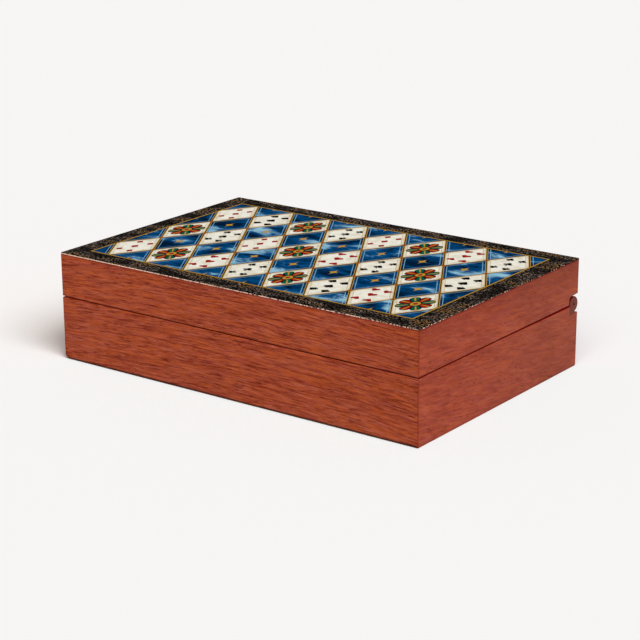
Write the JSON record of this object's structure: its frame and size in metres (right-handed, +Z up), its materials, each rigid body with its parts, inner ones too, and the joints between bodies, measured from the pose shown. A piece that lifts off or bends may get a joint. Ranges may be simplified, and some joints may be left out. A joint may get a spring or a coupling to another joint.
{
  "type": "playing card box",
  "caption": "Low hardwood box for playing cards: a printed lid on a full-length wooden barrel hinge, deck wells with finger notches and a long tray inside.",
  "frame": {"origin": "centre of the underside, on the surface that the box stands on", "axes": "+X along the length, to the right seen from the front; +Y to the hinged back; +Z up"},
  "size_m": [0.21, 0.138, 0.0544],
  "materials": {
    "mahogany": "satin lacquer over red-brown mahogany",
    "spline_wood": "plain, glued in",
    "panel_wood": "plain sanded plywood",
    "divider_wood": "satin lacquer",
    "hinge_wood": "satin, darker stain",
    "printed_top": null,
    "baize": "short-napped green cloth",
    "under_felt": "thin felt",
    "steel": "drawn wire"
  },
  "bodies": {
    "base": {"base_front_wall": "mahogany", "base_back_wall": "mahogany", "base_left_wall": "mahogany", "base_right_wall": "mahogany", "base_corner_splines": "spline_wood", "bottom_panel": "panel_wood", "underside_baize": "under_felt", "long_divider": "divider_wood", "cross_divider": "divider_wood", "left_well_baize": "baize", "right_well_baize": "baize", "front_tray_baize": "baize", "base_knuckle_1": "hinge_wood", "base_knuckle_2": "hinge_wood", "base_knuckle_3": "hinge_wood", "base_knuckle_4": "hinge_wood", "hinge_pin": "steel"},
    "lid": {"lid_front_wall": "mahogany", "lid_back_wall": "mahogany", "lid_left_wall": "mahogany", "lid_right_wall": "mahogany", "lid_corner_splines": "spline_wood", "top_panel": "panel_wood", "printed_board": "printed_top", "lid_lining": "baize", "lid_knuckle_1": "hinge_wood", "lid_knuckle_2": "hinge_wood", "lid_knuckle_3": "hinge_wood"}
  },
  "joints": [
    {"name": "lid_hinge", "type": "hinge", "parent": "base", "child": "lid", "pos_m": [0, 0.0651, 0.0321], "axis": [-1, 0, 0], "range_deg": [0, 98]}
  ]
}
